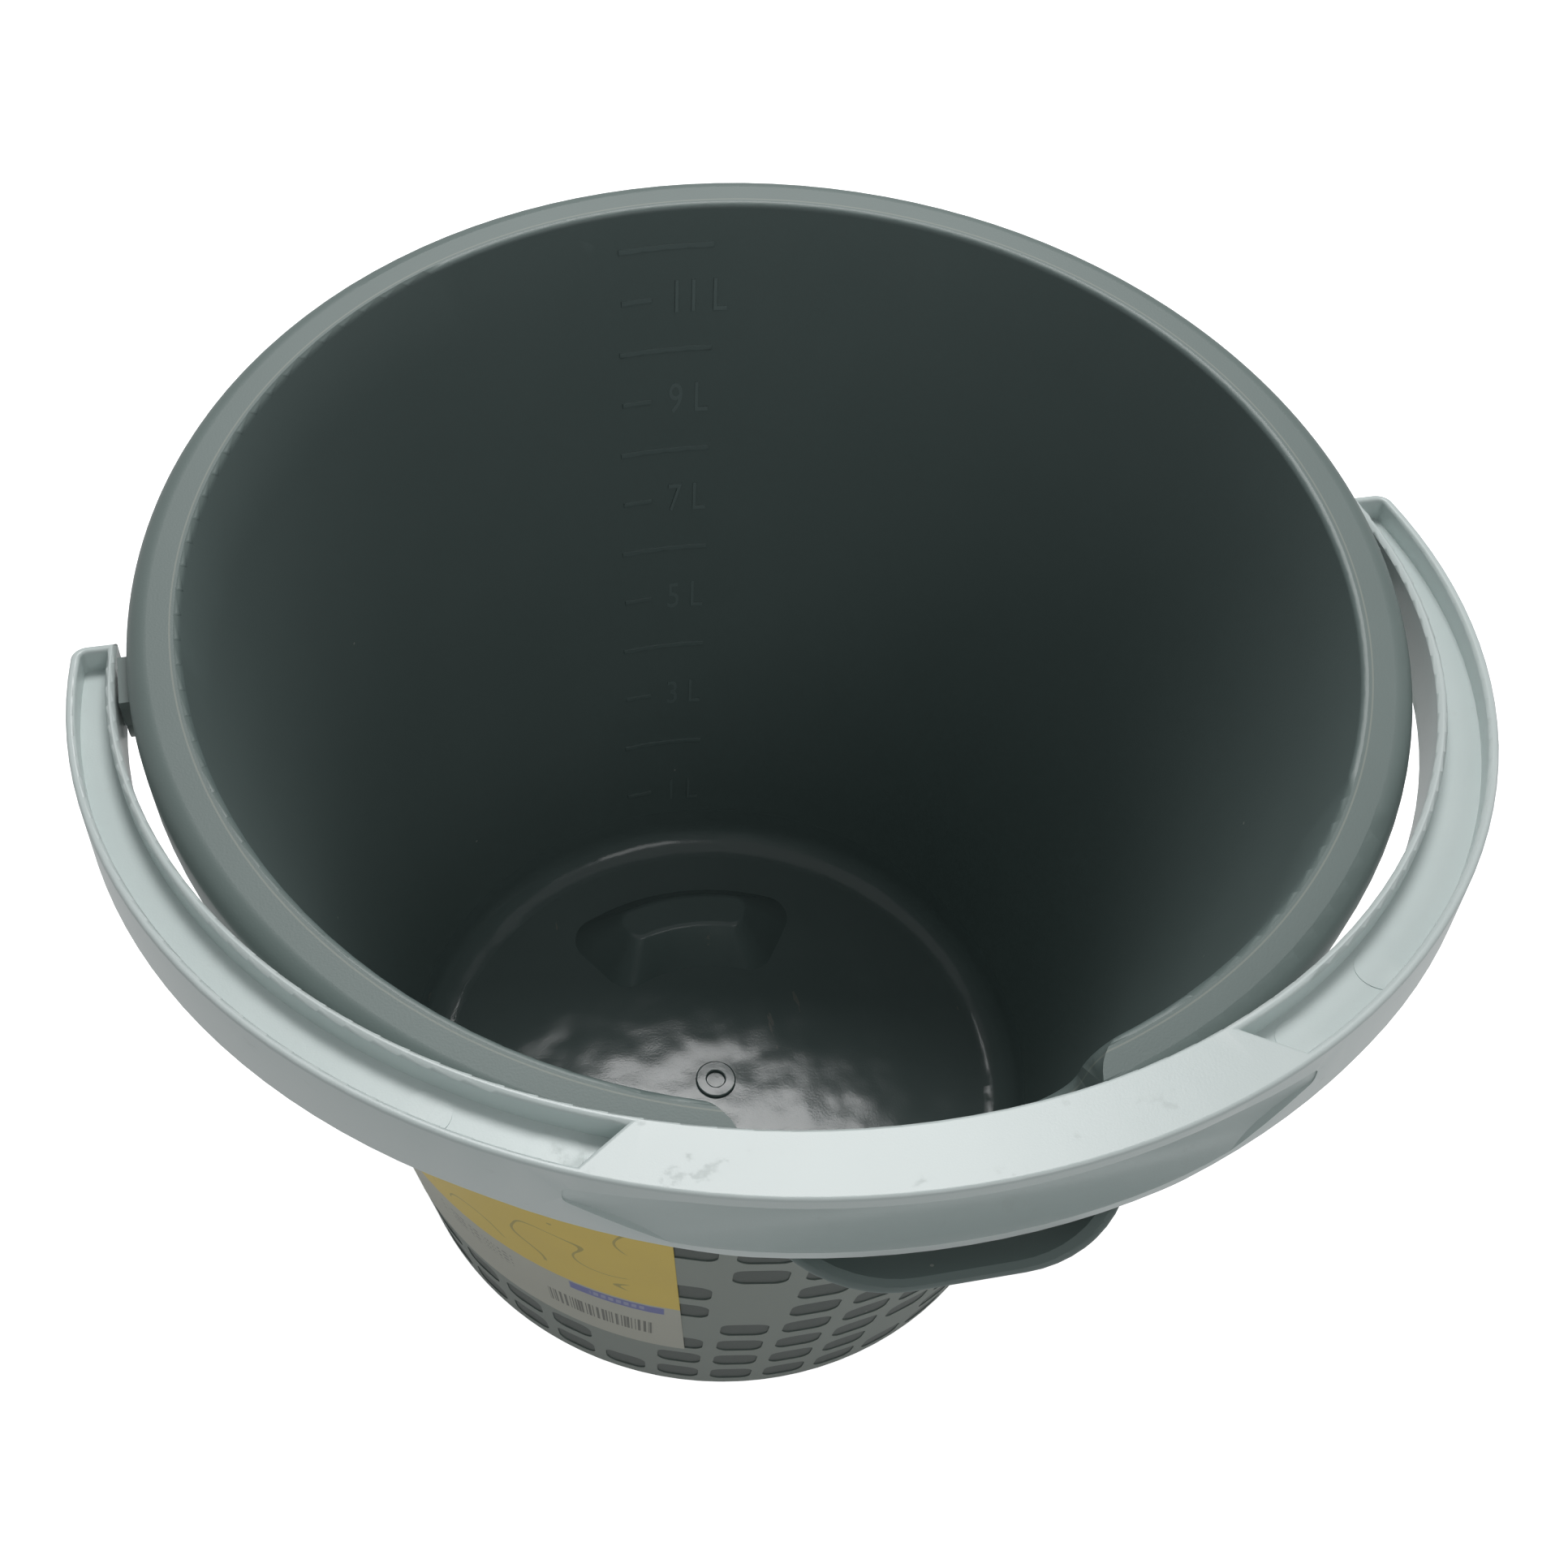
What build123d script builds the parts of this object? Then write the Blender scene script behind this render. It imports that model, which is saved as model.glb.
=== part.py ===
"""Household pouring bucket: a tapered moulded body with a spout, a bail handle and a product label.

Frame: millimetres, +Z up, the spout points along -Y, and the origin is on the bucket's axis at floor level.
"""

from build123d import *
from math import cos, degrees, pi, radians, sin, sqrt
import os

# Bucket body
height = 270.0
rim_radius = 155.0
rim_skirt_depth = 15.0
rim_top_thickness = 2.4
rim_outer_round = 5.5
rim_inner_round = 1.6
mouth_radius = 141.8
base_radius = 108.6
floor_height = 8.0
floor_radius = 106.3
floor_thickness = 2.8
floor_fillet = 11.0
wall = 2.3
foot_width = 3.2
foot_round = 1.2
small_round = 0.6

# Pour spout
spout_top = height - 1.2
spout_bottom = 238.0
spout_reach = 179.0
spout_mouth_half_width = 39.0
spout_lip_half_width = 34.0
spout_front_round = 27.0
spout_mouth_round = 14.0
spout_mouth_flare_angle = 26.0
spout_root_reach = 131.0
spout_root_half_width = 41.0
spout_root_round = 12.0
spout_root_mouth = (43.0, -112.0)
spout_root_flare = (59.0, -106.0)
spout_inside = 100.0
spout_wall = 1.7
spout_bead_radius = 1.0
spout_bead_offset = 1.2
spout_bead_start = 150.0

# Finger recess under the floor, opposite the spout: a hump inside the bucket
recess_mid_radius = 64.75
recess_foot_width = 35.5
recess_foot_half_angle = 34.0
recess_top_width = 13.0
recess_top_half_angle = 20.0
recess_rise = 13.0
recess_corner = 10.0
recess_top_corner = 5.0
recess_top_round = 2.5
hollow_top_half_angle = 18.5
hollow_top_corner = 4.0

# Injection gate mark on the floor
gate_radius = 7.2
gate_hollow_radius = 3.2
gate_rise = 1.2
gate_round = 0.55

# Litre scale on the inner wall
litres_marked = 12
cubic_mm_per_litre = 1e6
scale_rise = 0.35
scale_line_height = 1.7
long_line = 28.0
short_line = 9.0
short_line_offset = 8.8

# Bail handle: two channelled arms and a solid grip with a groove for the fingers
handle_plane_height = 262.0
handle_tilt = 10.0
handle_inner_radius = 158.6
handle_outer_radius = 169.7
handle_outer_shift = 5.3
arm_depth = 15.6
grip_depth = 19.8
grip_depth_half_width = 44.0
arm_depth_half_width = 92.0
underside_round = 60.0
handle_tail = 14.5
handle_tail_corner = 4.0
flange = 2.2
channel_depth = 6.0
web = 2.4
grip_step_apex = 103.0
grip_step_angle = 53.7
flange_edge = 0.9
groove_floor_reach = 163.2
groove_floor_radius = 445.8
groove_top = 2.8
groove_bottom = 17.9
groove_half_width = 76.0
groove_end_top = 5.4
groove_end_bottom = 9.6
groove_full_half_width = 55.0
groove_under_round = 3.0
groove_lip_round = 9.5
groove_top_round = 40.0
groove_bottom_round = 25.0
groove_end_round = 1.8
ejector_radius = 5.6
ejector_rise = 0.15
ejector_angles = (27.0, 36.5)
ejector_ring_radius = 167.6

# Pivot
pivot_height = 251.0
pin_radius = 3.5
pin_clearance = 0.06
pin_tip = 148.0
bore_floor = 146.5
lug_root = 143.0
lug_face = 157.6
lug_radius = 6.5
lug_rib_width = 8.4
lug_rib_top = 265.0

# Label
label_thickness = 0.2
label_centre_angle = -132.0
label_width = 97.6
label_low = 48.5
label_high = 190.0
label_tilt = -0.5
label_reach_angle = 30.0
label_spare = 6.0

# How far a cutting tool runs past the face it cuts, and how closely a size is matched
overrun = 1.0
cut_top = height + 4.0
tolerance = 0.01

wall_slope = (mouth_radius + wall - base_radius) / height
inner_slope = (mouth_radius - floor_radius) / (height - floor_height)

os.makedirs("parts", exist_ok=True)


def outer_wall_radius(z):
    return base_radius + wall_slope * z


def inner_wall_radius(z):
    return floor_radius + inner_slope * (z - floor_height)


def meridian(angle):
    """The upright half plane at an angle round the axis: its x is the radius and its y is the height."""
    outward = Vector(cos(radians(angle)), sin(radians(angle)), 0)
    return Plane(origin=(0, 0, 0), x_dir=outward, z_dir=outward.cross(Vector(0, 0, 1)))


def side_plane(x, z):
    """An upright plane that faces away from the axis along X, on the side that x is on."""
    return Plane(origin=(x, 0, z), z_dir=(x / abs(x), 0, 0))


def sector(mid_radius, width, half_angle, corner):
    """Draws a ring sector about the current sketch's +Y, with rounded corners."""
    start = 90 - half_angle
    inner = mid_radius - width / 2
    outer = mid_radius + width / 2
    with BuildLine() as edge:
        arc_in = CenterArc((0, 0), inner, start, 2 * half_angle)
        arc_out = CenterArc((0, 0), outer, start, 2 * half_angle)
        Line(arc_in @ 0, arc_out @ 0)
        Line(arc_in @ 1, arc_out @ 1)
    face = make_face(edge.edges())
    fillet(face.vertices(), corner)


def spout_outline(flare, mouth, front, front_round, grow):
    """Draws the spout's plan outline, grown by some millimetres, from its points on the +X side."""
    right = [(x + grow, y - grow) for x, y in (flare, mouth, front)]
    right.insert(0, (flare[0] + grow, -spout_inside))
    left = [(-x, y) for x, y in reversed(right)]
    rounds = [0, 0, spout_mouth_round - grow, front_round + grow]
    with BuildLine() as edge:
        FilletPolyline(*right, *left, radius=rounds + rounds[::-1], close=True)
    make_face(edge.edges())


def spout_top_outline(grow=0.0):
    flare_angle = radians(spout_mouth_flare_angle)
    flare = (mouth_radius * sin(flare_angle), -mouth_radius * cos(flare_angle))
    mouth = (spout_mouth_half_width, -sqrt(mouth_radius**2 - spout_mouth_half_width**2))
    spout_outline(flare, mouth, (spout_lip_half_width, -spout_reach), spout_front_round, grow)


def spout_root_outline(grow=0.0):
    front = (spout_root_half_width, -spout_root_reach)
    spout_outline(spout_root_flare, spout_root_mouth, front, spout_root_round, grow)


with BuildPart() as spout_shell:
    with BuildSketch(Plane.XY.offset(spout_bottom)):
        spout_root_outline(spout_wall)
    with BuildSketch(Plane.XY.offset(spout_top)):
        spout_top_outline(spout_wall)
    loft(ruled=True)

with BuildPart() as spout_channel:
    with BuildSketch(Plane.XY.offset(spout_bottom + spout_wall)):
        spout_root_outline()
    with BuildSketch(Plane.XY.offset(spout_top)):
        spout_top_outline()
    loft(ruled=True)
    with BuildSketch(Plane.XY.offset(spout_top)):
        spout_top_outline()
    extrude(amount=cut_top - spout_top)

# A rolled bead stiffens the lip. It follows the spout's outline outside the rim.
with BuildPart() as spout_bead:
    with BuildLine(Plane.XY.offset(spout_top - spout_bead_radius)) as bead_path:
        FilletPolyline(
            (-spout_mouth_half_width - spout_bead_offset, -spout_bead_start),
            (-spout_lip_half_width - spout_bead_offset, -spout_reach - spout_bead_offset),
            (spout_lip_half_width + spout_bead_offset, -spout_reach - spout_bead_offset),
            (spout_mouth_half_width + spout_bead_offset, -spout_bead_start),
            radius=spout_front_round + spout_bead_offset,
        )
    with BuildSketch(Plane(bead_path.line @ 0, z_dir=bead_path.line % 0)):
        Circle(spout_bead_radius)
    sweep(path=bead_path.line)

with BuildPart() as cavity:
    with BuildSketch(Plane.XZ):
        with BuildLine():
            FilletPolyline(
                (0, floor_height),
                (floor_radius, floor_height),
                (inner_wall_radius(cut_top), cut_top),
                (0, cut_top),
                radius=[0, floor_fillet, 0, 0],
                close=True,
            )
        make_face()
    revolve(axis=Axis.Z)

with BuildPart() as finger_hump:
    with BuildSketch(Plane.XY.offset(floor_height - overrun)):
        sector(recess_mid_radius, recess_foot_width, recess_foot_half_angle, recess_corner)
    with BuildSketch(Plane.XY.offset(floor_height + recess_rise)):
        sector(recess_mid_radius, recess_top_width, recess_top_half_angle, recess_top_corner)
    loft(ruled=True)
    fillet(finger_hump.faces().sort_by(Axis.Z)[-1].edges(), recess_top_round)

with BuildPart() as finger_hollow:
    with BuildSketch(Plane.XY):
        sector(recess_mid_radius, recess_foot_width, recess_foot_half_angle, recess_corner)
    with BuildSketch(Plane.XY.offset(floor_height + recess_rise - wall)):
        sector(recess_mid_radius, recess_top_width - wall, hollow_top_half_angle, hollow_top_corner)
    loft(ruled=True)


# The litres held below a height, from the cone of the inner wall, give the marks their heights.
def litres_below(z):
    r = inner_wall_radius(z)
    cone = pi * (z - floor_height) / 3 * (r * r + r * floor_radius + floor_radius * floor_radius)
    return cone / cubic_mm_per_litre


def height_of_litres(litres):
    low = floor_height
    high = height
    while high - low > tolerance:
        middle = (low + high) / 2
        if litres_below(middle) < litres:
            low = middle
        else:
            high = middle
    return low


with BuildPart() as bucket_body:
    with BuildSketch(Plane.XZ):
        with BuildLine():
            FilletPolyline(
                (0, floor_height - floor_thickness),
                (base_radius - foot_width, floor_height - floor_thickness),
                (base_radius - foot_width, 0),
                (base_radius, 0),
                (outer_wall_radius(height - rim_top_thickness), height - rim_top_thickness),
                (rim_radius - wall, height - rim_top_thickness),
                (rim_radius - wall, height - rim_skirt_depth),
                (rim_radius, height - rim_skirt_depth),
                (rim_radius, height),
                (0, height),
                radius=[0, foot_round, foot_round, foot_round, foot_round, rim_outer_round - wall,
                        small_round, small_round, rim_outer_round, 0],
                close=True,
            )
        make_face()
    revolve(axis=Axis.Z)
    add(spout_shell.part)
    add(spout_bead.part)
    # Pivot lugs: a round boss on the wall under the rim, and a rib that ties it to the rim's skirt
    for side in (-1, 1):
        with BuildSketch(side_plane(side * lug_root, pivot_height)):
            Circle(lug_radius)
        extrude(amount=lug_face - lug_root)
        with BuildSketch(side_plane(side * lug_root, (pivot_height + lug_rib_top) / 2)):
            Rectangle(lug_rib_width, lug_rib_top - pivot_height)
        extrude(amount=lug_face - lug_root)
    add(cavity.part, mode=Mode.SUBTRACT)
    mouth_edge = bucket_body.edges().filter_by(GeomType.CIRCLE).filter_by(
        lambda edge: max(abs(edge.center().Z - height), abs(edge.radius - mouth_radius)) < tolerance)
    fillet(mouth_edge, rim_inner_round)
    add(spout_channel.part, mode=Mode.SUBTRACT)
    # Pivot bores, blind, open outwards
    for side in (-1, 1):
        with BuildSketch(side_plane(side * bore_floor, pivot_height)):
            Circle(pin_radius + pin_clearance)
        extrude(amount=lug_face - bore_floor + overrun, mode=Mode.SUBTRACT)
    # Finger recess: a hump on the floor with a hollow under it
    add(finger_hump.part)
    add(finger_hollow.part, mode=Mode.SUBTRACT)
    # Gate mark: a low ring at the centre of the floor
    with BuildSketch(Plane.XY.offset(floor_height - floor_thickness / 2)):
        Circle(gate_radius)
        Circle(gate_hollow_radius, mode=Mode.SUBTRACT)
    extrude(amount=gate_rise + floor_thickness / 2)
    gate_top = bucket_body.edges().filter_by(GeomType.CIRCLE).filter_by(
        lambda edge: abs(edge.center().Z - floor_height - gate_rise) < tolerance)
    fillet(gate_top, gate_round)
    # Litre scale: long lines at even litres and short ones at odd litres, opposite the spout
    for litres in range(1, litres_marked + 1):
        is_long = litres % 2 == 0
        line_height = height_of_litres(litres)
        radius = inner_wall_radius(line_height)
        span = degrees((long_line if is_long else short_line) / radius)
        turn = 0 if is_long else degrees(short_line_offset / radius)
        with BuildSketch(meridian(90 + turn - span / 2)):
            with Locations((radius, line_height)):
                Rectangle(2 * scale_rise, scale_line_height)
        revolve(axis=Axis.Z, revolution_arc=span)

handle_plane = Plane(
    origin=(0, 0, handle_plane_height),
    x_dir=(1, 0, 0),
    z_dir=(0, sin(radians(handle_tilt)), cos(radians(handle_tilt))),
)
handle_front = Plane(handle_plane.origin, x_dir=handle_plane.x_dir, z_dir=-handle_plane.y_dir)
handle_meridian = Plane(handle_plane.origin, x_dir=-handle_plane.y_dir, z_dir=-handle_plane.x_dir)
past_handle = 2 * handle_outer_radius


def handle_level(edge):
    """The height of an edge's middle over the handle's top plane."""
    return handle_plane.to_local_coords(edge.center()).Z


def arm_outline(inset=0.0):
    """Draws the bail's plan outline, inset by some millimetres; the grip lies along the sketch's -Y."""
    with BuildSketch(mode=Mode.PRIVATE) as arm:
        with Locations((0, -handle_outer_shift)):
            Circle(handle_outer_radius - inset)
        Circle(handle_inner_radius + inset, mode=Mode.SUBTRACT)
        with Locations((0, handle_tail - inset)):
            Rectangle(past_handle, past_handle, align=(Align.CENTER, Align.MIN), mode=Mode.SUBTRACT)
        tail_corners = arm.vertices().group_by(Axis.Y)[-1].sort_by(lambda v: -abs(v.X))[:2]
        fillet(tail_corners, handle_tail_corner - inset)
    add(arm.sketch)


def grip_wedge(mode):
    """Draws the wedge that holds the grip, between the slanted ends of the two arms' channels."""
    reach = handle_outer_radius
    side = reach * sin(radians(grip_step_angle))
    front = -grip_step_apex - reach * cos(radians(grip_step_angle))
    with BuildLine() as wedge:
        Polyline((0, -grip_step_apex), (-side, front), (side, front), close=True)
    make_face(wedge.edges(), mode=mode)


# The finger groove's tool, cut to the groove's outline seen from the front. The floor is flatter than the
# grip's face, so that the groove runs out at both ends.
groove_reach = handle_outer_radius + 2 * handle_outer_shift
groove_centre = handle_plane.from_local_coords((0, groove_floor_radius - groove_floor_reach, 0))
with BuildPart() as groove_cutter:
    with BuildSketch(handle_meridian):
        with BuildLine():
            FilletPolyline(
                (groove_reach, -groove_top),
                (groove_floor_reach, -groove_top),
                (groove_floor_reach, -groove_bottom),
                (groove_reach, -groove_bottom),
                radius=[0, groove_under_round, groove_lip_round, 0],
                close=True,
            )
        make_face()
    revolve(axis=Axis(groove_centre, handle_plane.z_dir))
    with BuildSketch(handle_front):
        with BuildLine():
            FilletPolyline(
                (-groove_full_half_width, -groove_top),
                (-groove_half_width, -groove_end_top),
                (-groove_half_width, -groove_end_bottom),
                (-groove_full_half_width, -groove_bottom),
                (groove_full_half_width, -groove_bottom),
                (groove_half_width, -groove_end_bottom),
                (groove_half_width, -groove_end_top),
                (groove_full_half_width, -groove_top),
                radius=[groove_top_round, groove_end_round, groove_end_round, groove_bottom_round,
                        groove_bottom_round, groove_end_round, groove_end_round, groove_top_round],
                close=True,
            )
        make_face()
    extrude(amount=past_handle, mode=Mode.INTERSECT)

with BuildPart() as bail_handle:
    with BuildSketch(handle_plane):
        arm_outline()
    extrude(amount=-grip_depth)
    # The arms are shallower than the grip, with a smooth run between them
    with BuildSketch(handle_front.offset(-past_handle)):
        with BuildLine():
            FilletPolyline(
                (-past_handle, -arm_depth),
                (-arm_depth_half_width, -arm_depth),
                (-grip_depth_half_width, -grip_depth),
                (grip_depth_half_width, -grip_depth),
                (arm_depth_half_width, -arm_depth),
                (past_handle, -arm_depth),
                (past_handle, -past_handle),
                (-past_handle, -past_handle),
                radius=[0, underside_round, underside_round, underside_round, underside_round, 0, 0, 0],
                close=True,
            )
        make_face()
    extrude(amount=2 * past_handle, mode=Mode.SUBTRACT)
    with BuildSketch(handle_plane):
        arm_outline(flange)
        grip_wedge(Mode.SUBTRACT)
    extrude(amount=-channel_depth, mode=Mode.SUBTRACT)
    with BuildSketch(handle_plane.offset(-channel_depth - web)):
        arm_outline(flange)
        grip_wedge(Mode.SUBTRACT)
    extrude(amount=-grip_depth, mode=Mode.SUBTRACT)
    add(groove_cutter.part, mode=Mode.SUBTRACT)
    fillet(bail_handle.edges().filter_by(lambda edge: abs(handle_level(edge)) < tolerance), flange_edge)
    # Faint raised discs of the mould's ejectors, on the channels' floors
    with BuildSketch(handle_plane.offset(-channel_depth - web / 2)):
        for angle in ejector_angles:
            for side in (-1, 1):
                with Locations((side * ejector_ring_radius * sin(radians(angle)),
                                -ejector_ring_radius * cos(radians(angle)))):
                    Circle(ejector_radius)
    extrude(amount=web / 2 + ejector_rise)
    # Pivot pins, moulded on the arms' inner faces
    for side in (-1, 1):
        with BuildSketch(side_plane(side * pin_tip, pivot_height)):
            Circle(pin_radius)
        extrude(amount=handle_inner_radius + overrun - pin_tip)

# The label is a flat rectangle wrapped onto the wall: a thin conical shell, cut to a rectangle
label_front = Plane(
    origin=(0, 0, (label_low + label_high) / 2),
    x_dir=(-sin(radians(label_centre_angle)), cos(radians(label_centre_angle)), 0),
    z_dir=(cos(radians(label_centre_angle)), sin(radians(label_centre_angle)), 0),
)
with BuildPart() as product_label:
    shell_low = label_low - label_spare
    shell_high = label_high + label_spare
    with BuildSketch(meridian(label_centre_angle - label_reach_angle)):
        with BuildLine():
            Polyline(
                (outer_wall_radius(shell_low), shell_low),
                (outer_wall_radius(shell_high), shell_high),
                (outer_wall_radius(shell_high) + label_thickness, shell_high),
                (outer_wall_radius(shell_low) + label_thickness, shell_low),
                close=True,
            )
        make_face()
    revolve(axis=Axis.Z, revolution_arc=2 * label_reach_angle)
    with BuildSketch(label_front):
        Rectangle(label_width, label_high - label_low, rotation=label_tilt)
    extrude(amount=rim_radius, mode=Mode.INTERSECT)

pieces = {"bucket_body": bucket_body, "bail_handle": bail_handle, "product_label": product_label}
for name, piece in pieces.items():
    piece.part.label = name
    print(name, piece.part.is_valid, round(piece.part.volume), len(piece.part.solids()))
    export_step(piece.part, f"parts/{name}.step")
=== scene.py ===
"""Looks of the pouring bucket: its plastics, slotted wall, litre numerals and label, on a pale studio floor.

Metres, in the CAD part's own frame: +Z up, the spout points along -Y, the litre scale is on the +Y side.
"""

import bpy
import math
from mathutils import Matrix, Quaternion, Vector


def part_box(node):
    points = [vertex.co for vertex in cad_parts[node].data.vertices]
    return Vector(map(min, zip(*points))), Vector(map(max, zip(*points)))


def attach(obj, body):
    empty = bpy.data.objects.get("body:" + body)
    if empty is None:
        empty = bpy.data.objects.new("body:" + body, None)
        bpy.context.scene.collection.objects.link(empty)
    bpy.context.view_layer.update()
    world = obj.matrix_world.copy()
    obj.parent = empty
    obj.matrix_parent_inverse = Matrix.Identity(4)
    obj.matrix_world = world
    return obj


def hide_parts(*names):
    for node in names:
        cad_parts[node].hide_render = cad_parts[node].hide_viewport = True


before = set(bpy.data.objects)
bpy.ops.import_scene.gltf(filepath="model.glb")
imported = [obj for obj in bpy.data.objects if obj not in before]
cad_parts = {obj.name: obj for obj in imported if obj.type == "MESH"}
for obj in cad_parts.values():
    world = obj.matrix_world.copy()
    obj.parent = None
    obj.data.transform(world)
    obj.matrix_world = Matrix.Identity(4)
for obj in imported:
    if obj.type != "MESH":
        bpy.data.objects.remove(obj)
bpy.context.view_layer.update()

# Camera
CAMERA_PLACE = Vector((-0.0936, -0.3024, 0.6123))
CAMERA_TARGET = Vector((-0.0248, -0.0168, 0.150))
CAMERA_ROLL = math.radians(3.49)
CAMERA_LENS = 43.4
CAMERA_SHIFT = (0.0731, 0.0848)

# The bucket's cones, as the CAD part has them
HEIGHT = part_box("bucket_body")[1][2]
OUTER_FOOT_RADIUS = 0.1086
OUTER_RIM_RADIUS = 0.1441
OUTER_SLOPE = (OUTER_RIM_RADIUS - OUTER_FOOT_RADIUS) / HEIGHT
FLOOR_LEVEL = 0.008
INNER_FOOT_RADIUS = 0.1063
INNER_RIM_RADIUS = 0.1418
INNER_SLOPE = (INNER_RIM_RADIUS - INNER_FOOT_RADIUS) / (HEIGHT - FLOOR_LEVEL)
INNER_START_RADIUS = INNER_FOOT_RADIUS - INNER_SLOPE * FLOOR_LEVEL

# Where the bucket's shader finds its parts
INSIDE_DEPTH = 0.0018
UNDERSIDE_LEVEL = 0.0055
GLOSS_LEVEL = 0.024
GLOSS_FADE = 0.016
MARK_RISE = 0.0003
MARKS_LEVEL = 0.022
MARKS_BACK = 0.10

# Slots round the outer wall
SLOT_COLUMNS = 40
SLOT_ROWS = 11
SLOT_FIRST_LEVEL = 0.014
SLOT_PITCH = 0.0208
SLOT_HEIGHT = 0.0142
SLOT_ANGLE = math.radians(6.9)
SLOT_CORNER = 0.0040
SLOT_CORNER_STEPS = 5
SLOTS_TOP = SLOT_FIRST_LEVEL + SLOT_ROWS * SLOT_PITCH
SLOT_DEPTH = 0.00035
SLOT_TOOL_OVERRUN = 4 * SLOT_DEPTH
SLOT_FLOOR = "slot_floor"
SLOTS_LEFT_OUT = ((7,), (5, 9), (1, 8), (3, 6), (4, 5))

# How the outer wall's faces are told from the rest of the body
WALL_SAG = 0.0002
DEEPEST_SLOT_FLOOR = 0.0008
FACING_OUTWARD = 0.9
WALL_LOW = 0.0015
WALL_HIGH = HEIGHT - 0.003

# Studio
FLOOR_SIZE = 8.0
LIGHT_TARGET = Vector((0, 0, 0.2))
FLOOR_GLOW = 0.08
FLOOR_SEEN = 0.90
WORLD_LIGHT = 0.28
WORLD_SEEN = 1.0

# Litre numerals on the inner wall
LITRES_MARKED = 12
CAPITAL_SHARE = 0.7
NUMERAL_HEIGHT = 0.0105
NUMERAL_WIDTH_SHARE = 0.66
NUMERAL_RISE = 0.00035
NUMERAL_START = 0.0008
CUBIC_METRES_PER_LITRE = 0.001
LEVEL_TOLERANCE = 0.00001

# Label, and the panels of its print. A panel is (from, to, blur of the edge) twice: along the wall from the
# label's middle, and in height.
LABEL_CENTRE = math.radians(-132.0)
LABEL_RADIUS = 0.1243
YELLOW_FIELD_LEVEL = 0.097
EDGE_BLUR = 0.0006
ART_PANEL = ((-0.030, 0.036, 0.002), (0.108, 0.180, 0.002))
STRIP_PANEL = ((0.017, 0.0465, EDGE_BLUR), (0.0885, 0.0955, EDGE_BLUR))
DASHES_PANEL = ((0.0235, 0.041, 0.001), (0.0903, 0.0937, 0.0005))
BARS_PANEL = ((0.008, 0.043, EDGE_BLUR), (0.062, 0.076, EDGE_BLUR))
WORDS_PANEL = ((-0.034, -0.004, 0.001), (0.076, 0.088, EDGE_BLUR))


def outer_radius(z):
    return OUTER_FOOT_RADIUS + OUTER_SLOPE * z


def inner_radius(z):
    return INNER_FOOT_RADIUS + INNER_SLOPE * (z - FLOOR_LEVEL)


def add_camera():
    data = bpy.data.cameras.new("camera")
    data.lens = CAMERA_LENS
    data.sensor_width = 36.0
    data.shift_x, data.shift_y = CAMERA_SHIFT
    camera = bpy.data.objects.new("camera", data)
    bpy.context.scene.collection.objects.link(camera)
    look = (CAMERA_TARGET - CAMERA_PLACE).to_track_quat("-Z", "Y")
    camera.location = CAMERA_PLACE
    camera.rotation_mode = "QUATERNION"
    camera.rotation_quaternion = look @ Quaternion((0, 0, 1), CAMERA_ROLL)
    bpy.context.scene.camera = camera


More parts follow.
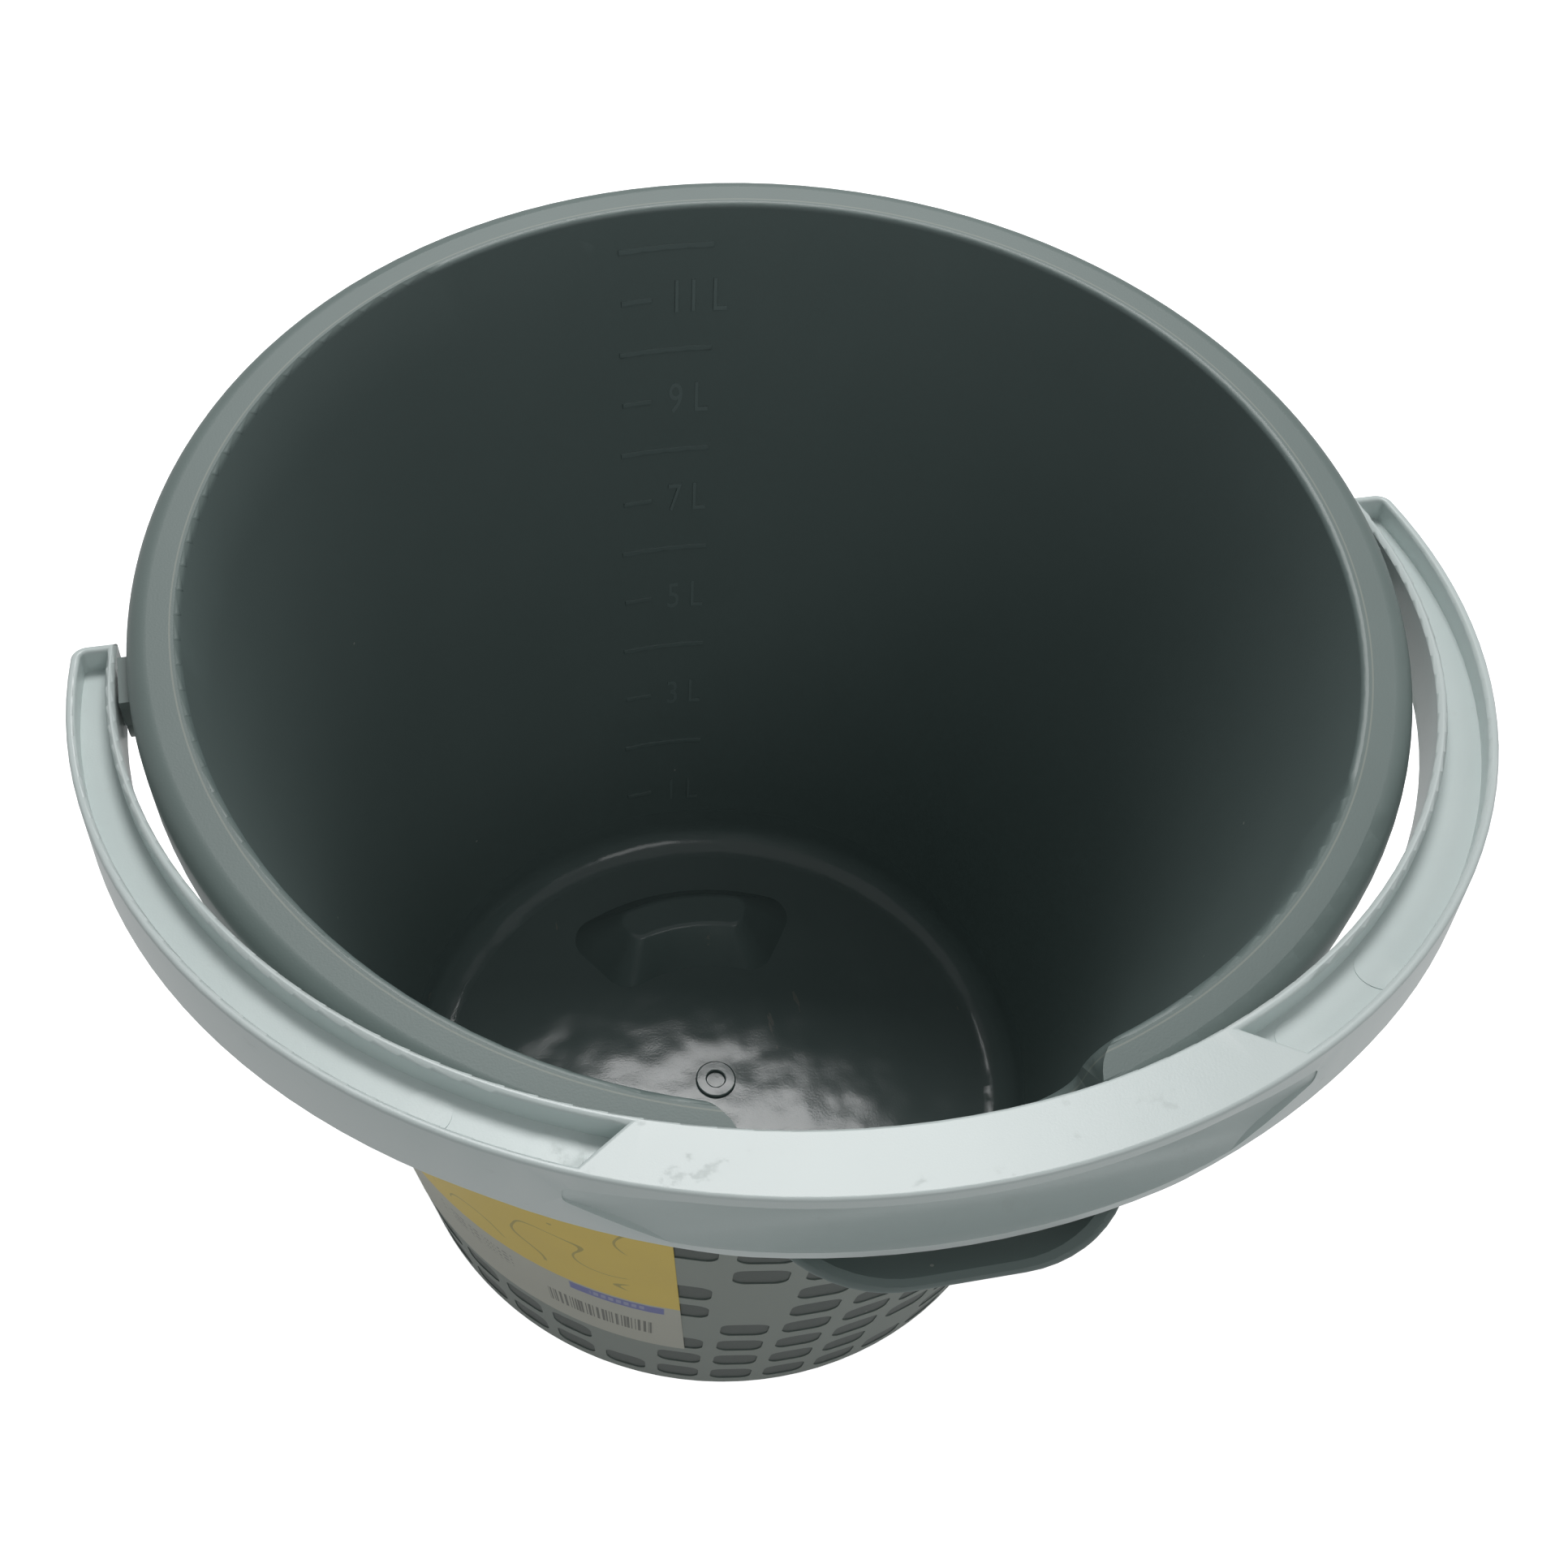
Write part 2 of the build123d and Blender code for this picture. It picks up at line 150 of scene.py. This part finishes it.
class Graph:
    """A material's node graph, with short calls that add a node and give its output."""

    def __init__(self, name, **settings):
        self.material = bpy.data.materials.new(name)
        self.material.use_nodes = True
        self.nodes = self.material.node_tree.nodes
        self.links = self.material.node_tree.links
        self.shader = self.nodes["Principled BSDF"]
        for socket, value in settings.items():
            self.shader.inputs[socket.replace("_", " ")].default_value = value

    def add(self, kind, inputs=(), output=0, **settings):
        node = self.nodes.new(kind)
        for name, value in settings.items():
            setattr(node, name, value)
        for key, value in dict(inputs).items():
            self.set(node.inputs[key], value)
        return node.outputs[output]

    def set(self, socket, value):
        if isinstance(value, bpy.types.NodeSocket):
            self.links.new(value, socket)
        else:
            socket.default_value = value

    def math(self, operation, a, b=0.0, c=0.0):
        return self.add("ShaderNodeMath", {0: a, 1: b, 2: c}, operation=operation)

    def product(self, first, *others):
        for other in others:
            first = self.math("MULTIPLY", first, other)
        return first

    def above(self, value, edge, blur):
        """0 under the edge and 1 over it, with a ramp as wide as blur."""
        return self.add("ShaderNodeMapRange", {0: value, 1: edge - blur / 2, 2: edge + blur / 2},
                        interpolation_type="SMOOTHSTEP")

    def between(self, value, low, high, blur):
        return self.product(self.above(value, low, blur),
                            self.math("SUBTRACT", 1.0, self.above(value, high, blur)))

    def panel(self, along, z, area):
        """1 inside one of the label's panels."""
        across, upright = area
        return self.product(self.between(along, *across), self.between(z, *upright))

    def mix(self, factor, a, b):
        return self.add("ShaderNodeMix", {0: factor, 6: a, 7: b}, output=2, data_type="RGBA")

    def blend(self, factor, a, b):
        return self.add("ShaderNodeMix", {0: factor, 2: a, 3: b}, output=0)

    def noise(self, vector, scale, detail=2.0, roughness=0.5):
        return self.add("ShaderNodeTexNoise",
                        {"Vector": vector, "Scale": scale, "Detail": detail, "Roughness": roughness})

    def line_noise(self, position, frequency, detail):
        return self.add("ShaderNodeTexNoise",
                        {"W": self.product(position, frequency), "Scale": 1.0, "Detail": detail},
                        noise_dimensions="1D")

    def place(self):
        """The object's own coordinates."""
        return self.add("ShaderNodeTexCoord", output="Object")

    def axes(self, vector):
        split = self.nodes.new("ShaderNodeSeparateXYZ")
        self.links.new(vector, split.inputs[0])
        return split.outputs

    def stretched(self, vector, sizes):
        return self.add("ShaderNodeVectorMath", {0: vector, 1: sizes}, operation="MULTIPLY")

    def bump(self, *layers):
        """Joins height layers, each (height, distance, strength), and puts them on the shader."""
        normal = None
        for height, distance, strength in layers:
            inputs = {"Height": height, "Distance": distance, "Strength": strength}
            if normal is not None:
                inputs["Normal"] = normal
            normal = self.add("ShaderNodeBump", inputs)
        self.links.new(normal, self.shader.inputs["Normal"])

    def finish(self, colour, roughness):
        self.links.new(colour, self.shader.inputs["Base Color"])
        self.links.new(roughness, self.shader.inputs["Roughness"])
        return self.material


def bucket_plastic():
    """Satin grey-green polypropylene: matt outside, glossy on the floor, with darker and smoother slots."""
    g = Graph("bucket_plastic", IOR=1.49)
    vector = g.place()
    x, y, z = g.axes(vector)
    radius = g.math("SQRT", g.math("MULTIPLY_ADD", x, x, g.product(y, y)))
    wall_gap = g.math("SUBTRACT", radius, g.math("MULTIPLY_ADD", z, OUTER_SLOPE, OUTER_FOOT_RADIUS))
    slot = g.add("ShaderNodeAttribute", output="Fac", attribute_name=SLOT_FLOOR)
    inside = g.product(g.math("LESS_THAN", wall_gap, -INSIDE_DEPTH), g.above(z, UNDERSIDE_LEVEL, 0.001))
    floor = g.product(inside, g.math("SUBTRACT", 1.0, g.above(z, GLOSS_LEVEL, GLOSS_FADE)))
    clouds = g.noise(vector, 16.0, 3.0)
    streaks = g.noise(g.stretched(vector, (1.0, 1.0, 0.12)), 70.0, 2.0)
    grain = g.noise(vector, 1800.0, 1.0)
    colour = g.mix(clouds, (0.150, 0.194, 0.184, 1), (0.188, 0.236, 0.226, 1))
    colour = g.mix(g.product(streaks, 0.30), colour, (0.150, 0.188, 0.180, 1))
    # Painted light: the outer wall between the slots is tinted lighter and warmer, as lit by the white
    # surround.
    lit_outer_wall = g.between(wall_gap, -WALL_SAG, WALL_SAG, 0.0001)
    colour = g.mix(g.product(lit_outer_wall, 0.60), colour, (0.300, 0.325, 0.285, 1))
    colour = g.mix(g.product(slot, 0.90), colour, (0.050, 0.064, 0.055, 1))
    # Painted shade: inside the bucket the colour is tinted darker and bluer, as shade falls in its depth.
    colour = g.mix(g.product(inside, 0.35), colour, (0.110, 0.150, 0.150, 1))
    # Painted highlight: the raised litre lines and numerals are tinted lighter, as light catches them.
    wall_rise = g.math("SUBTRACT", g.math("MULTIPLY_ADD", z, INNER_SLOPE, INNER_START_RADIUS), radius)
    raised = g.above(wall_rise, MARK_RISE, 0.00006)
    marks = g.product(raised, g.above(z, MARKS_LEVEL, 0.002), inside, g.above(y, MARKS_BACK, 0.002))
    colour = g.mix(g.product(marks, 0.45), colour, (0.230, 0.290, 0.285, 1))
    specks = g.add("ShaderNodeTexVoronoi", {"Vector": vector, "Scale": 42.0})
    dust = g.math("LESS_THAN", specks, 0.018)
    colour = g.mix(g.product(dust, 0.55), colour, (0.55, 0.56, 0.52, 1))
    scuff_field = g.noise(g.stretched(vector, (1.0, 0.25, 1.0)), 95.0, 4.0, 0.6)
    scuffs = g.product(g.above(scuff_field, 0.69, 0.02), floor)
    colour = g.mix(g.product(scuffs, 0.30), colour, (0.30, 0.26, 0.20, 1))
    matt = g.math("MULTIPLY_ADD", clouds, 0.10, 0.36)
    matt = g.math("MULTIPLY_ADD", grain, 0.05, matt)
    matt = g.math("MULTIPLY_ADD", slot, -0.10, matt)
    gloss = g.math("MULTIPLY_ADD", scuffs, 0.25, g.math("MULTIPLY_ADD", clouds, 0.05, 0.12))
    roughness = g.blend(floor, matt, gloss)
    waves = g.product(g.noise(vector, 48.0, 1.5), floor)
    g.bump((waves, 0.0016, 0.5), (clouds, 0.0006, 0.25), (grain, 0.00004, 0.5))
    g.set(g.shader.inputs["Specular IOR Level"], g.math("MULTIPLY_ADD", slot, -0.30, 0.5))
    return g.finish(colour, roughness)


def handle_plastic():
    """Satin pale grey polypropylene, with painted highlights lighter along its edges."""
    g = Graph("handle_plastic", IOR=1.49)
    vector = g.place()
    clouds = g.noise(vector, 22.0, 3.0)
    grain = g.noise(vector, 2200.0, 1.0)
    colour = g.mix(clouds, (0.565, 0.640, 0.630, 1), (0.640, 0.705, 0.692, 1))
    # Painted highlight: the sharp edges and flange tops are tinted lighter, where light catches them.
    edge = g.above(g.add("ShaderNodeNewGeometry", output="Pointiness"), 0.56, 0.08)
    colour = g.mix(g.product(edge, 0.35), colour, (0.76, 0.80, 0.79, 1))
    grime_field = g.noise(g.stretched(vector, (1.0, 1.0, 2.5)), 110.0, 5.0, 0.65)
    grime = g.above(grime_field, 0.66, 0.08)
    colour = g.mix(g.product(grime, 0.10), colour, (0.42, 0.43, 0.40, 1))
    roughness = g.math("MULTIPLY_ADD", clouds, 0.10, 0.27)
    roughness = g.math("MULTIPLY_ADD", grime, 0.12, roughness)
    g.bump((clouds, 0.0008, 0.3), (grain, 0.00004, 0.4))
    return g.finish(colour, roughness)


def label_paper():
    """Semi-gloss sticker: a yellow field with line art over an off-white one with bars and a blue strip."""
    g = Graph("label_paper", IOR=1.45)
    vector = g.place()
    x, y, z = g.axes(vector)
    along = g.product(g.math("SUBTRACT", g.math("ARCTAN2", y, x), LABEL_CENTRE), LABEL_RADIUS)
    clouds = g.noise(vector, 30.0, 3.0)
    fibre = g.noise(vector, 1500.0, 2.0)
    paper = g.mix(clouds, (0.44, 0.44, 0.37, 1), (0.52, 0.52, 0.45, 1))
    yellow = g.mix(clouds, (0.72, 0.52, 0.075, 1), (0.80, 0.60, 0.115, 1))
    colour = g.mix(g.above(z, YELLOW_FIELD_LEVEL, EDGE_BLUR), paper, yellow)
    contours = g.math("PINGPONG", g.product(g.noise(vector, 38.0, 0.0), 6.0), 0.5)
    art = g.product(g.math("LESS_THAN", contours, 0.045), g.panel(along, z, ART_PANEL))
    colour = g.mix(g.product(art, 0.55), colour, (0.20, 0.19, 0.07, 1))
    colour = g.mix(g.product(g.panel(along, z, STRIP_PANEL), 0.85), colour, (0.10, 0.12, 0.42, 1))
    dashes = g.math("GREATER_THAN", g.math("FRACT", g.product(along, 420.0)), 0.35)
    dashes = g.product(dashes, g.panel(along, z, DASHES_PANEL))
    colour = g.mix(g.product(dashes, 0.6), colour, (0.42, 0.44, 0.55, 1))
    bars = g.math("GREATER_THAN", g.line_noise(along, 1100.0, 0.0), 0.5)
    bars = g.product(bars, g.panel(along, z, BARS_PANEL))
    colour = g.mix(g.product(bars, 0.80), colour, (0.07, 0.07, 0.06, 1))
    rows = g.math("LESS_THAN", g.math("FRACT", g.product(z, 280.0)), 0.42)
    words = g.math("GREATER_THAN", g.line_noise(along, 520.0, 1.0), 0.5)
    words = g.product(rows, words, g.panel(along, z, WORDS_PANEL))
    colour = g.mix(g.product(words, 0.65), colour, (0.12, 0.12, 0.11, 1))
    roughness = g.math("MULTIPLY_ADD", clouds, 0.10, 0.36)
    g.bump((clouds, 0.0003, 0.4), (fibre, 0.00003, 0.4))
    return g.finish(colour, roughness)


def slot_outline():
    """A slot's rounded outline as columns from left to right, each (angle from the middle, half height)."""
    half_angle = SLOT_ANGLE / 2
    corner_angle = SLOT_CORNER / outer_radius(HEIGHT / 2)
    columns = []
    for step in range(SLOT_CORNER_STEPS + 1):
        turn = math.pi / 2 * step / SLOT_CORNER_STEPS
        half_height = SLOT_HEIGHT / 2 - SLOT_CORNER * (1 - math.sin(turn))
        columns.append((-half_angle + corner_angle * (1 - math.cos(turn)), half_height))
    return columns + [(-angle, half_height) for angle, half_height in reversed(columns)]


def add_slot_tool(vertices, faces, middle_angle, level):
    """Adds one slot's closed tool: a skin at the slot's depth, a skin well over the wall, and their sides."""
    start = len(vertices)
    columns = slot_outline()
    count = len(columns)
    for offset in (-SLOT_DEPTH, SLOT_TOOL_OVERRUN):
        for angle, half_height in columns:
            for z in (level - half_height, level + half_height):
                radius = outer_radius(z) + offset
                turn = middle_angle + angle
                vertices.append((radius * math.cos(turn), radius * math.sin(turn), z))
    top = 2 * count
    for i in range(start, start + 2 * count - 2, 2):
        faces.append((i, i + 1, i + 3, i + 2))
        faces.append((i + top, i + top + 2, i + top + 3, i + top + 1))
        faces.append((i, i + 2, i + top + 2, i + top))
        faces.append((i + 1, i + top + 1, i + top + 3, i + 3))
    last = start + 2 * count - 2
    faces.append((start, start + top, start + top + 1, start + 1))
    faces.append((last, last + 1, last + top + 1, last + top))


def slot_tools():
    vertices = []
    faces = []
    for row in range(SLOT_ROWS):
        for column in range(SLOT_COLUMNS):
            if row not in SLOTS_LEFT_OUT[column % len(SLOTS_LEFT_OUT)]:
                angle = -math.pi / 2 + column * math.tau / SLOT_COLUMNS
                add_slot_tool(vertices, faces, angle, SLOT_FIRST_LEVEL + row * SLOT_PITCH)
    mesh = bpy.data.meshes.new("slot_tools")
    mesh.from_pydata(vertices, [], faces)
    mesh.update()
    tools = bpy.data.objects.new("slot_tools", mesh)
    bpy.context.scene.collection.objects.link(tools)
    return tools


def add_slotted_body(material):
    """The bucket's moulding: the CAD body's surface with the shallow slots cut into its outer wall."""
    body = bpy.data.objects.new("bucket_moulding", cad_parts["bucket_body"].data.copy())
    bpy.context.scene.collection.objects.link(body)
    tools = slot_tools()
    cut = body.modifiers.new("slots", "BOOLEAN")
    cut.operation = "DIFFERENCE"
    cut.solver = "EXACT"
    cut.object = tools
    mesh = bpy.data.meshes.new_from_object(body.evaluated_get(bpy.context.evaluated_depsgraph_get()))
    body.modifiers.clear()
    body.data = mesh
    bpy.data.objects.remove(tools)
    smooth_wall(mesh)
    mesh.materials.clear()
    mesh.materials.append(material)
    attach(body, "bucket")
    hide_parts("bucket_body")
    return body


def smooth_wall(mesh):
    """Gives the outer wall and the slots' floors the cone's own normals, and marks the slots' floors."""
    tilt = math.atan(OUTER_SLOPE)
    normals = [Vector(corner.vector) for corner in mesh.corner_normals]
    slot_floor = mesh.attributes.new(SLOT_FLOOR, "FLOAT", "FACE")
    for polygon in mesh.polygons:
        middle = polygon.center
        outward = Vector((middle.x, middle.y, 0)).normalized()
        gap = outward.dot(middle) - outer_radius(middle.z)
        facing = polygon.normal.dot(outward)
        on_wall = -DEEPEST_SLOT_FLOOR < gap < WALL_SAG and WALL_LOW < middle.z < WALL_HIGH
        if on_wall and facing > FACING_OUTWARD:
            in_slot = gap < -WALL_SAG and SLOT_FIRST_LEVEL / 2 < middle.z < SLOTS_TOP
            slot_floor.data[polygon.index].value = 1.0 if in_slot else 0.0
            for loop in polygon.loop_indices:
                place = mesh.vertices[mesh.loops[loop].vertex_index].co
                around = Vector((place.x, place.y, 0)).normalized()
                normals[loop] = around * math.cos(tilt) - Vector((0, 0, math.sin(tilt)))
    mesh.normals_split_custom_set(normals)


def litres_below(z):
    r = inner_radius(z)
    cone = math.pi * (z - FLOOR_LEVEL) / 3 * (r * r + r * INNER_FOOT_RADIUS + INNER_FOOT_RADIUS**2)
    return cone / CUBIC_METRES_PER_LITRE


def level_of_litres(litres):
    low = FLOOR_LEVEL
    high = HEIGHT
    while high - low > LEVEL_TOLERANCE:
        middle = (low + high) / 2
        if litres_below(middle) < litres:
            low = middle
        else:
            high = middle
    return low


def add_numeral(litres, material):
    """A raised number with its L, beside a short line of the litre scale, wrapped onto the inner wall."""
    curve = bpy.data.curves.new(f"litres_{litres}", "FONT")
    curve.body = f"{litres} L"
    curve.size = NUMERAL_HEIGHT / CAPITAL_SHARE
    curve.extrude = NUMERAL_RISE
    curve.resolution_u = 4
    curve.align_y = "CENTER"
    source = bpy.data.objects.new("source", curve)
    bpy.context.scene.collection.objects.link(source)
    mesh = bpy.data.meshes.new_from_object(source.evaluated_get(bpy.context.evaluated_depsgraph_get()))
    bpy.data.objects.remove(source)
    level = level_of_litres(litres)
    for vertex in mesh.vertices:
        across, up, out = vertex.co
        z = level + up
        radius = inner_radius(z) - out
        turn = math.pi / 2 - (NUMERAL_START + across * NUMERAL_WIDTH_SHARE) / radius
        vertex.co = (radius * math.cos(turn), radius * math.sin(turn), z)
    mesh.update()
    piece = bpy.data.objects.new(f"litre_numeral_{litres:02d}", mesh)
    bpy.context.scene.collection.objects.link(piece)
    mesh.materials.clear()
    mesh.materials.append(material)
    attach(piece, "bucket")


def dress(node, material):
    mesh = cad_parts[node].data
    mesh.materials.clear()
    mesh.materials.append(material)


def seen_brighter(nodes, links, light, seen):
    """A strength for the surround: one value as a light on the bucket, another where it is itself in view."""
    path = nodes.new("ShaderNodeLightPath")
    level = nodes.new("ShaderNodeMapRange")
    level.inputs["To Min"].default_value = light
    level.inputs["To Max"].default_value = seen
    links.new(path.outputs["Is Camera Ray"], level.inputs["Value"])
    return level.outputs[0]


def add_floor():
    bpy.ops.mesh.primitive_plane_add(size=FLOOR_SIZE)
    floor = bpy.context.object
    floor.name = "studio_floor"
    g = Graph("studio_floor", Roughness=0.9, Emission_Color=(1, 1, 1, 1))
    g.links.new(seen_brighter(g.nodes, g.links, FLOOR_GLOW, FLOOR_SEEN), g.shader.inputs["Emission Strength"])
    colour = g.mix(g.noise(g.place(), 3.0), (0.86, 0.87, 0.87, 1), (0.90, 0.90, 0.90, 1))
    g.links.new(colour, g.shader.inputs["Base Color"])
    floor.data.materials.append(g.material)


def add_light(name, place, width, depth, power):
    data = bpy.data.lights.new(name, "AREA")
    data.shape = "RECTANGLE"
    data.size = width
    data.size_y = depth
    data.energy = power
    light = bpy.data.objects.new(name, data)
    bpy.context.scene.collection.objects.link(light)
    light.location = place
    light.rotation_mode = "QUATERNION"
    light.rotation_quaternion = (LIGHT_TARGET - Vector(place)).to_track_quat("-Z", "Y")


def add_world():
    """A pale surround that is seen white, and that lights the bucket only softly."""
    world = bpy.data.worlds.new("studio")
    bpy.context.scene.world = world
    world.use_nodes = True
    nodes = world.node_tree.nodes
    links = world.node_tree.links
    links.new(seen_brighter(nodes, links, WORLD_LIGHT, WORLD_SEEN), nodes["Background"].inputs["Strength"])
    nodes["Background"].inputs["Color"].default_value = (0.97, 0.99, 1.0, 1)


add_camera()
bpy.context.scene.view_settings.view_transform = "Standard"
bucket_material = bucket_plastic()
add_slotted_body(bucket_material)
for odd_litres in range(1, LITRES_MARKED, 2):
    add_numeral(odd_litres, bucket_material)
dress("bail_handle", handle_plastic())
dress("product_label", label_paper())
add_floor()
add_world()
add_light("key_softbox", (0.20, 0.85, 1.40), 0.7, 0.55, 13.0)
add_light("front_softbox", (0.45, -0.95, 1.3), 0.6, 0.6, 2.2)
